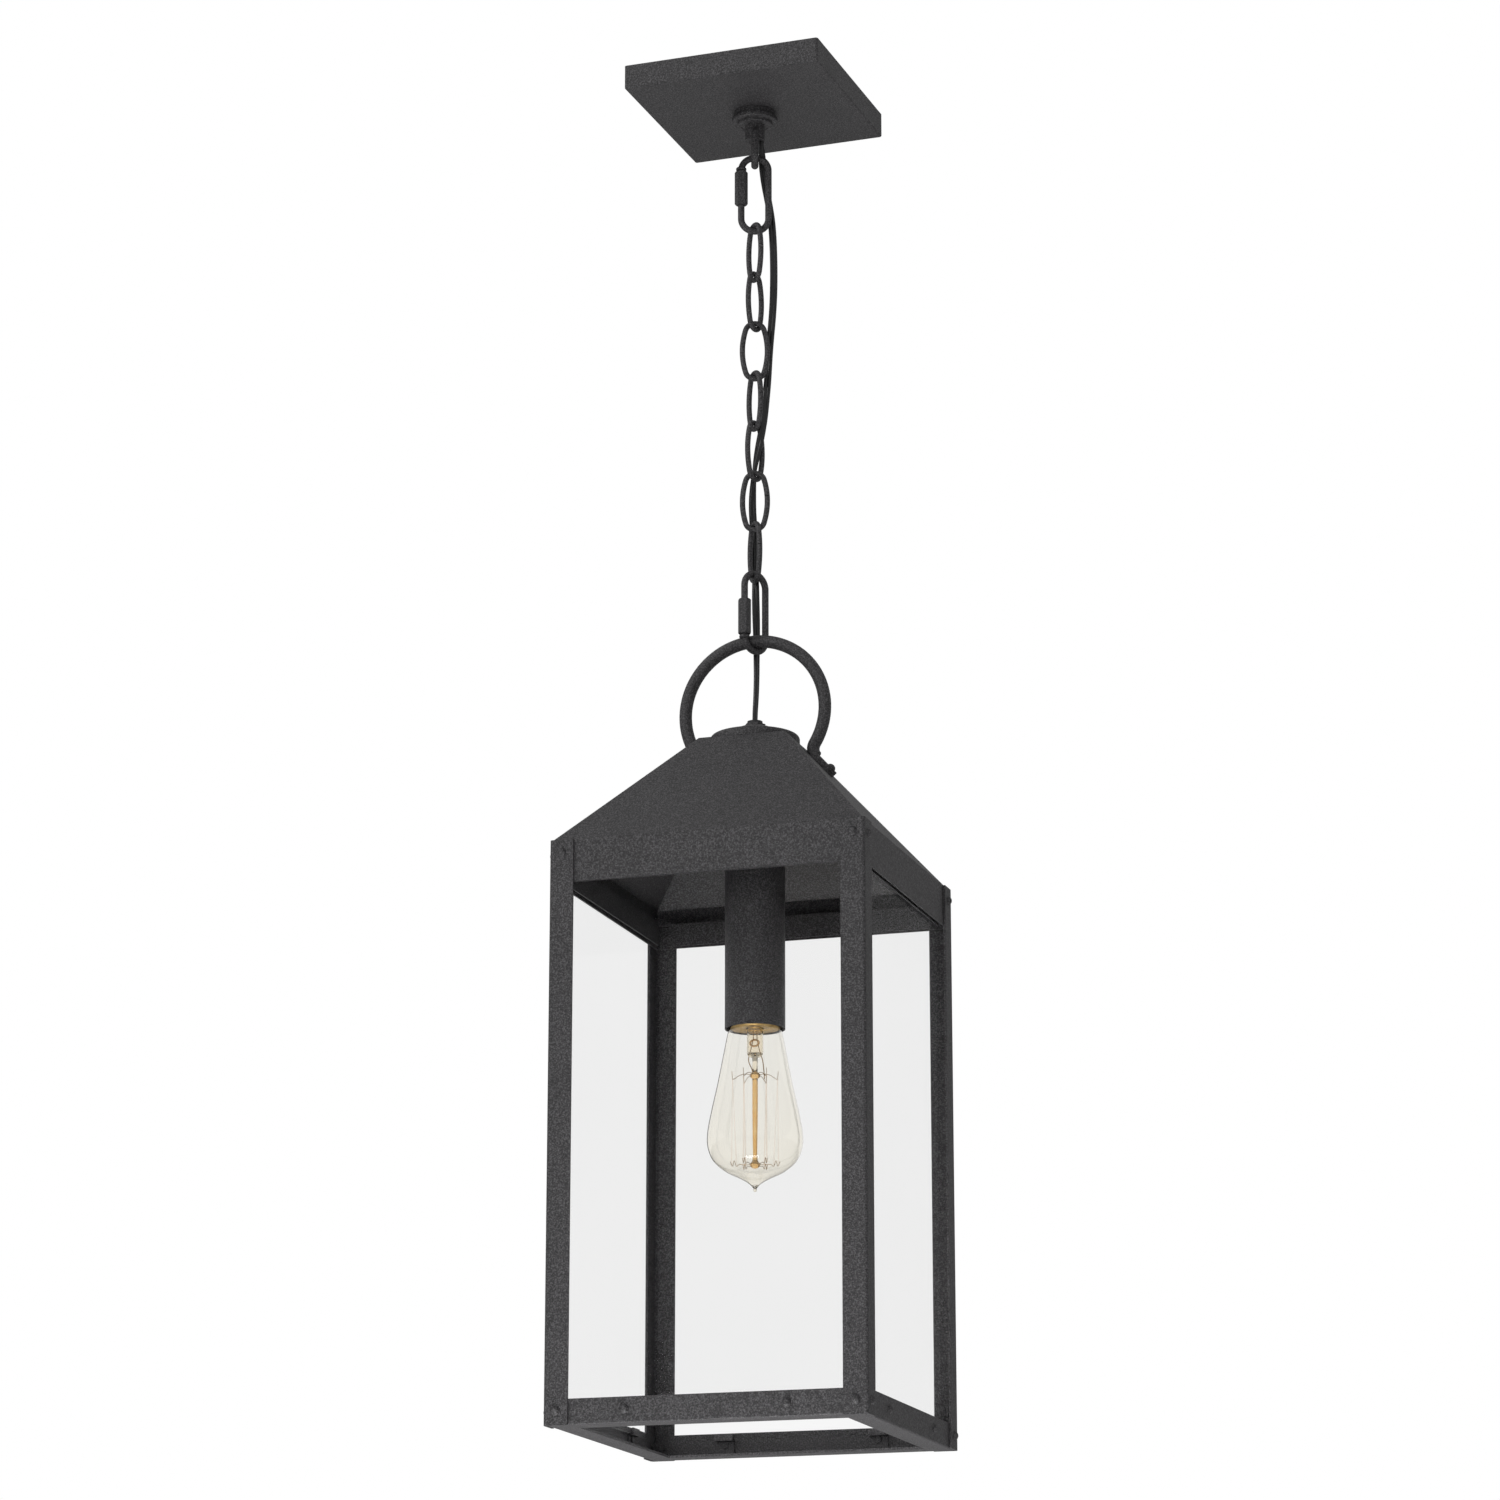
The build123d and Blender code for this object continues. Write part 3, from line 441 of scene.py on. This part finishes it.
def paint(name, low, high, roughness, size=4 * MM, coat=0.0):
    """Paint, plastic or glaze whose colour and gloss vary a little."""
    n = Nodes(name)
    patch = n.noise(size, detail=3.0)
    fine = n.noise(0.8 * MM, detail=2.0, seed=5.0)
    colour = n.ramp(patch, [(0.3, low), (0.7, high)])
    rough = n.ramp(fine, [(0.3, roughness * 0.85), (0.7, min(1.0, roughness * 1.2))])
    n.set(Coat_Weight=coat, Coat_Roughness=0.08)
    return n.shade(colour, rough, n.bump(fine, 0.03 * MM, 0.4))


def cord_jacket():
    """Smooth black cord jacket with a faint drawn grain along it."""
    n = Nodes("cord_jacket")
    patch = n.noise(12 * MM, detail=2.0, stretch=(1, 1, 0.25))
    drawn = n.noise(0.8 * MM, detail=2.0, stretch=(1, 1, 0.08), seed=6.0)
    colour = n.ramp(patch, [(0.3, (0.007, 0.007, 0.0075)), (0.7, (0.014, 0.014, 0.015))])
    rough = n.ramp(drawn, [(0.3, 0.26), (0.7, 0.38)])
    n.set(Specular_IOR_Level=0.5)
    return n.shade(colour, rough, n.bump(drawn, 0.02 * MM, 0.3))


FINISH = {
    "black_powder": powder_coat(),
    "pane_glass": pane_glass(),
    "bulb_glass": lamp_glass(
        "bulb_envelope", (0.998, 0.988, 0.955), (0.99, 0.993, 0.99), index=1.38, stain=125),
    "stem_glass": lamp_glass(
        "stem_glass", (0.98, 0.93, 0.84), (0.97, 0.93, 0.86), index=1.3, stain=60),
    "rod_glass": rod_glass(
        "rod_glass", (0.86, 0.50, 0.17), (0.98, 0.70, 0.34), clear=0.9, index=1.35),
    "ring_glass": rod_glass(
        "ring_glass", (0.62, 0.34, 0.13), (0.86, 0.56, 0.26), clear=0.6, index=1.4),
    "cage": rod_glass(
        "filament_cage", (0.95, 0.90, 0.87), (0.99, 0.975, 0.965), clear=1.0, index=1.0),
    "brass": metal("brass", (0.80, 0.60, 0.30), (0.52, 0.36, 0.16), 0.26),
    "neck_disc": metal("neck_disc", (0.84, 0.60, 0.28), (0.44, 0.29, 0.12), 0.42, wear=0.2),
    "filament": metal("filament_wire", (0.42, 0.29, 0.16), (0.26, 0.17, 0.09), 0.4),
    "insulator": paint("insulator", (0.012, 0.010, 0.016), (0.03, 0.026, 0.036), 0.12),
    "zinc_steel": metal("zinc_steel", (0.62, 0.63, 0.64), (0.44, 0.44, 0.43), 0.34),
    "green_screw": paint("green_screw", (0.02, 0.16, 0.05), (0.03, 0.24, 0.08), 0.3, coat=0.4),
    "holder_porcelain": paint(
        "glazed_porcelain", (0.74, 0.71, 0.64), (0.84, 0.82, 0.76), 0.16, coat=0.6),
    "cord": cord_jacket(),
    "bushing": paint("black_nylon", (0.011, 0.011, 0.012), (0.02, 0.02, 0.021), 0.42),
}
make_cords(FINISH["cord"])


# CAD nodes keep their shape and get their finish


def dress(node, material):
    """Gives a CAD node its material."""
    piece = frame["nodes"][node]
    piece.data.materials.clear()
    piece.data.materials.append(material)
    for polygon in piece.data.polygons:
        polygon.material_index = 0


def dress_all():
    """Every node gets its slot's finish, but the lamp pipe, which shows on the cap, is black."""
    for row in frame["record"]["subparts"]:
        dress(row["node"], FINISH[row["material_slot"]])
    dress("lamp_pipe", FINISH["black_powder"])


dress_all()


# Bulb: the envelope and what it holds, made finer than the CAD solids

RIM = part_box("bulb_cap")[0].z
ENVELOPE_WALL = 0.45
# Radius, and height over the cap's rim, in millimetres
ENVELOPE = [
    (11.3, 5.0), (11.3, 0.4), (12.7, -1.4), (14.0, -5.0), (17.2, -16.5), (20.2, -31.7),
    (23.5, -48.4), (27.2, -65.2), (29.5, -78.5), (29.1, -87.5), (25.6, -95.6), (18.4, -101.8),
    (10.0, -105.9), (4.6, -109.0), (1.7, -111.6), (0.9, -112.9),
]
STEM = [
    (11.0, 4.0), (10.6, 1.0), (8.0, -5.0), (5.6, -10.5), (5.1, -15.0), (5.0, -24.0), (4.9, -28.5),
    (3.6, -30.3), (1.8, -30.6),
]
STEM_WALL = 0.9
DISC_HIGH = -12.2
DISC_THICK = 0.5
DISC_STEM_R = 5.7
DISC_GLASS_R = (15.2, 15.4)
DISC_MIDDLE_R = 4.3
# The tip: a small ball under the point where the wall closes
TIP_BORE_R = 0.7
TIP_TOP = -111.0
TIP_BORE_ROUND = 0.3
TIP_BALL_R = 1.2
TIP_BALL_TURNS = (0.8, 1.2, 1.6, 2.0, 2.4, 2.8)
# The pinch closes the flared tube, and the rods go on below it
PINCH_TOP = -28.6
CLEAR_ROD_TOP = -30.7
ROD_R = 1.7
ROD_TAPER = [(1.75, -60.0), (1.55, -78.0), (1.3, -92.0), (1.6, -94.6)]
# The ring where the bulb's air was drawn out
EXHAUST_HIGH = -22.0
EXHAUST_WIDE = 2.7
EXHAUST_TALL = 2.0
EXHAUST_FORWARD = -1.2
EXHAUST_WIRE_R = 0.62
EXHAUST_STEPS = 24
BEAD_HIGH = -42.2
BEAD_LOW = -97.8
BEAD_WIDE = 3.2
BEAD_TALL = 2.3
BEAD_STEPS = 14
ARMS = 6
ARM_R = 0.18
ARM_TURN = 0.30
# Each arm as (radius, sideways, height over its bead)
ARM = [
    (2.6, 0, 0.6), (6.0, 0, 1.0), (9.5, 0, 0.1), (12.4, 0, -1.8), (13.6, 0, -2.4), (14.0, 0, -1.2),
    (14.3, 0, 2.6),
]
LOW_ARM = [
    (2.4, 0, 0.3), (6.0, 0, 0.0), (9.6, 0, 0.3), (11.4, 0, -0.9), (12.8, 0, 2.6), (13.9, 0, -0.8),
    (15.2, 0, 2.0),
]
# Two strands run down from each upper arm, in a narrow V
CAGE_R = 13.9
CAGE_LOW_R = (11.4, 14.4)
STRAND_R = 0.42
# Each lead as (x, y, height over the rim)
LEFT_LEAD = [
    (-1.3, 0.0, -13.5), (-1.3, 0.0, -20.0), (-3.6, 0.0, -28.6), (-4.2, 0.2, -33.0),
    (-2.2, 0.6, -38.0), (-1.9, 0.4, -41.0),
]
RIGHT_LEAD = [
    (1.3, 0.0, -13.5), (1.4, 0.0, -20.0), (3.4, 0.0, -28.6), (5.0, -0.4, -33.0),
    (6.4, -2.2, -40.0), (7.2, -3.4, -45.4),
]
LEAD_R = 0.28


def through(points, steps=8):
    """A smooth line through the points (Catmull-Rom)."""
    ends = [points[0]] + list(points) + [points[-1]]
    line = []
    for a, b, c, d in zip(ends, ends[1:], ends[2:], ends[3:]):
        for n in range(steps):
            t = n / steps
            line.append(tuple(
                0.5 * (2 * q + (r - p) * t + (2 * p - 5 * q + 4 * r - s) * t**2
                       + (3 * q - p - 3 * r + s) * t**3)
                for p, q, r, s in zip(a, b, c, d)))
    return line + [tuple(points[-1])]


def inset(outline, depth):
    """The outline moved towards the axis and inwards by a wall's thickness."""
    moved = []
    for n, (r, z) in enumerate(outline):
        (r0, z0), (r1, z1) = outline[max(n - 1, 0)], outline[min(n + 1, len(outline) - 1)]
        length = math.hypot(r1 - r0, z1 - z0) or 1.0
        moved.append((r + (z1 - z0) / length * depth, z - (r1 - r0) / length * depth))
    return moved


# A point nearer the axis than this is taken to lie on it, in millimetres
ON_AXIS_R = 0.02


def lathe(name, outline, material, body, around=96, closed=True):
    """A turned piece about the axis from (radius, height over the rim) points, in millimetres."""
    bm = bmesh.new()
    rings = []
    for r, z in outline:
        height = RIM + z * MM
        if r < ON_AXIS_R:
            rings.append([bm.verts.new((0, 0, height))] * around)
        else:
            turns = [TAU * n / around for n in range(around)]
            rings.append([
                bm.verts.new((r * MM * math.cos(t), r * MM * math.sin(t), height)) for t in turns])
    pairs = list(zip(rings, rings[1:])) + ([(rings[-1], rings[0])] if closed else [])
    for first, second in pairs:
        for n in range(around):
            following = (n + 1) % around
            corners = [first[n], first[following], second[following], second[n]]
            corners = [v for k, v in enumerate(corners) if v is not corners[k - 1]]
            if len(corners) > 2:
                bm.faces.new(corners)
    bmesh.ops.recalc_face_normals(bm, faces=bm.faces)
    mesh = bpy.data.meshes.new(name)
    bm.to_mesh(mesh)
    bm.free()
    piece = new_object(name, mesh, material)
    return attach(piece, body)


def wires(name, routes, radius, material, body, smooth=True):
    """Fine round wires along routes of (x, y, height over the rim) points, in millimetres."""
    data = bpy.data.curves.new(name, "CURVE")
    data.dimensions = "3D"
    data.bevel_depth = radius * MM
    data.bevel_resolution = 3
    data.use_fill_caps = True
    for route in routes:
        line = through(route, 5) if smooth else route
        spline = data.splines.new("POLY")
        spline.points.add(len(line) - 1)
        for point, (x, y, z) in zip(spline.points, line):
            point.co = (x * MM, y * MM, RIM + z * MM, 1.0)
    shape = bpy.data.objects.new(name + "_line", data)
    collection.objects.link(shape)
    bpy.context.view_layer.update()
    graph = bpy.context.evaluated_depsgraph_get()
    mesh = bpy.data.meshes.new_from_object(shape.evaluated_get(graph))
    bpy.data.objects.remove(shape)
    mesh.name = name
    mesh.materials.clear()
    piece = new_object(name, mesh, material)
    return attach(piece, body)


def around_axis(points, angle):
    """Points of (radius, sideways, height) turned about the axis."""
    c, s = math.cos(angle), math.sin(angle)
    return [(r * c - t * s, r * s + t * c, z) for r, t, z in points]


def make_envelope():
    """The blown envelope, as one wall, with the sealed tip at its foot."""
    outer = through(ENVELOPE[:3], 4)[:-1] + through(ENVELOPE[2:], 8)
    inner = [(r, z) for r, z in inset(outer, ENVELOPE_WALL) if r > TIP_BORE_R and z > TIP_TOP]
    ball_z = (BULB_LOW - RIM) / MM + TIP_BALL_R
    ball = [
        (TIP_BALL_R * math.sin(a), ball_z + TIP_BALL_R * math.cos(a)) for a in TIP_BALL_TURNS]
    foot = [(0.0, ball_z - TIP_BALL_R), (0.0, inner[-1][1] - TIP_BORE_ROUND)]
    outline = outer + ball + foot + list(reversed(inner))
    envelope = lathe("bulb_envelope", outline, FINISH["bulb_glass"], "bulb")
    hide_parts("bulb_glass")


def make_stem():
    """The glass mount: flared tube, clear rod, and the amber rod with its two beads."""
    outer = through(STEM, 6)
    inner = [(r, z) for r, z in inset(outer, STEM_WALL) if z > PINCH_TOP]
    outline = outer + [(0.0, STEM[-1][1]), (0.0, PINCH_TOP - 0.2)] + list(reversed(inner))
    stem = lathe("stem_flare", outline, FINISH["stem_glass"], "bulb", around=48)
    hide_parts("bulb_stem")
    clear_rod = [
        (0.0, CLEAR_ROD_TOP), (ROD_R, CLEAR_ROD_TOP - 0.2), (1.6, BEAD_HIGH + 2.6),
        (0.0, BEAD_HIGH + 2.4),
    ]
    lathe("clear_rod", clear_rod, FINISH["stem_glass"], "bulb", around=32,
          closed=False)
    turns = [math.pi * n / BEAD_STEPS for n in range(BEAD_STEPS + 1)]
    bead = [(BEAD_WIDE * math.sin(a), BEAD_TALL * math.cos(a)) for a in turns]
    rod = [(max(r, ROD_R), z + BEAD_HIGH) for r, z in bead[1:-2]]
    rod += [(ROD_R, BEAD_HIGH - 4)] + ROD_TAPER
    rod += [(r, z + BEAD_LOW) for r, z in bead[3:]]
    rod = [(0.0, rod[0][1])] + rod[:-1] + [(0.0, rod[-1][1])]
    lathe("centre_rod", rod, FINISH["rod_glass"], "bulb", around=32, closed=False)
    turns = [TAU * n / EXHAUST_STEPS for n in range(EXHAUST_STEPS + 1)]
    loop = [
        (EXHAUST_WIDE * math.cos(a), EXHAUST_FORWARD, EXHAUST_HIGH + EXHAUST_TALL * math.sin(a))
        for a in turns]
    wires("exhaust_ring", [loop], EXHAUST_WIRE_R, FINISH["ring_glass"], "bulb",
          smooth=False)


def make_neck_disc():
    """The brass-coloured disc that closes the bulb's neck, and its middle inside the stem."""
    low = DISC_HIGH - DISC_THICK
    high_r, low_r = DISC_GLASS_R
    outline = [(DISC_STEM_R, DISC_HIGH), (high_r, DISC_HIGH), (low_r, low), (DISC_STEM_R, low)]
    disc = lathe("neck_disc", outline, FINISH["neck_disc"], "bulb", around=64)
    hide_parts("bulb_neck_disc")
    middle = [(0.0, DISC_HIGH), (DISC_MIDDLE_R, DISC_HIGH), (DISC_MIDDLE_R, low), (0.0, low)]
    lathe("neck_disc_middle", middle, FINISH["neck_disc"], "bulb", around=32,
          closed=False)


def make_wires():
    """Lead wires, the support arms on both beads, and the cage strung between them."""
    wires("lead_wires", [LEFT_LEAD, RIGHT_LEAD], LEAD_R, FINISH["filament"], "bulb")
    routes = []
    strands = []
    for n in range(ARMS):
        angle = TAU * n / ARMS + ARM_TURN
        routes.append(around_axis([(r, t, z + BEAD_HIGH) for r, t, z in ARM], angle))
        routes.append(around_axis([(r, t, z + BEAD_LOW) for r, t, z in LOW_ARM], angle))
        for low_r in CAGE_LOW_R:
            strand = [(CAGE_R, 0, BEAD_HIGH - 2.2), (low_r, 0, BEAD_LOW + 0.2)]
            strands.append(around_axis(strand, angle))
    arms = wires("support_arms", routes, ARM_R, FINISH["filament"], "bulb")
    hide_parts("bulb_supports")
    cage = wires("filament_cage", strands, STRAND_R, FINISH["cage"], "bulb",
                 smooth=False)
    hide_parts("bulb_filament")


make_envelope()
make_stem()
make_neck_disc()
make_wires()


# Floor and light


def lamp(name, place, target, size, power):
    """A white rectangular lamp, in watts, that is not seen itself."""
    data = bpy.data.lights.new(name, "AREA")
    data.shape = "RECTANGLE"
    data.size, data.size_y = size
    data.energy = power
    light = bpy.data.objects.new(name, data)
    light.location = place
    light.rotation_euler = (Vector(target) - Vector(place)).to_track_quat("-Z", "Y").to_euler()
    light.visible_camera = False
    light.visible_transmission = False
    collection.objects.link(light)


FLOOR_HALF = 20.0
FLOOR_DROP = 0.75
FLOOR_PALE = ((0.74, 0.74, 0.74), (0.77, 0.77, 0.77))


def make_floor():
    """A plain pale floor, well under the hanging lantern."""
    low = cad_box[0][2] - FLOOR_DROP
    bm = bmesh.new()
    bmesh.ops.create_grid(bm, x_segments=1, y_segments=1, size=FLOOR_HALF)
    mesh = bpy.data.meshes.new("floor")
    bm.to_mesh(mesh)
    bm.free()
    finish = paint("floor_paint", *FLOOR_PALE, roughness=0.8, size=0.2)
    floor = new_object("floor", mesh, finish, smooth=False)
    floor.location.z = low


# The light from the surroundings grows from the low value to the high one between these two
# heights of the direction it comes from
WORLD_LOW = 0.15
WORLD_HIGH = 0.54
WORLD_RISE = (-0.7, 0.9)


def make_world():
    """White behind the object, and a softer light on it that is dimmer from below."""
    world = bpy.data.worlds.new("studio")
    scene.world = world
    world.use_nodes = True
    tree = world.node_tree
    background = tree.nodes["Background"]
    rays = tree.nodes.new("ShaderNodeLightPath")
    seen = tree.nodes.new("ShaderNodeMath")
    seen.operation = "MAXIMUM"
    tree.links.new(rays.outputs["Is Camera Ray"], seen.inputs[0])
    tree.links.new(rays.outputs["Is Transmission Ray"], seen.inputs[1])
    place = tree.nodes.new("ShaderNodeTexCoord")
    split = tree.nodes.new("ShaderNodeSeparateXYZ")
    tree.links.new(place.outputs["Generated"], split.inputs["Vector"])
    height = tree.nodes.new("ShaderNodeMapRange")
    height.interpolation_type = "SMOOTHSTEP"
    height.inputs["From Min"].default_value = WORLD_RISE[0]
    height.inputs["From Max"].default_value = WORLD_RISE[1]
    height.inputs["To Min"].default_value = WORLD_LOW
    height.inputs["To Max"].default_value = WORLD_HIGH
    tree.links.new(split.outputs["Z"], height.inputs["Value"])
    strength = tree.nodes.new("ShaderNodeMix")
    tree.links.new(seen.outputs["Value"], strength.inputs[0])
    tree.links.new(height.outputs["Result"], strength.inputs[2])
    strength.inputs[3].default_value = 1.0
    tree.links.new(strength.outputs[0], background.inputs["Strength"])
    background.inputs["Color"].default_value = (1.0, 1.0, 1.0, 1.0)


make_floor()
make_world()
MIDDLE = (0.0, 0.0, -0.55)
CASE_MIDDLE = (0.0, 0.0, -0.68)
lamp("key", (-2.2, -1.9, 1.9), MIDDLE, (1.0, 1.0), 32)
lamp("fill", (2.6, -2.4, 0.9), MIDDLE, (1.2, 1.2), 2)
lamp("front", (-0.3, -2.8, -0.75), CASE_MIDDLE, (1.8, 0.6), 13)
lamp("below", (0.0, -0.35, -1.5), CASE_MIDDLE, (0.4, 0.4), 6)
scene.view_settings.view_transform = "Standard"
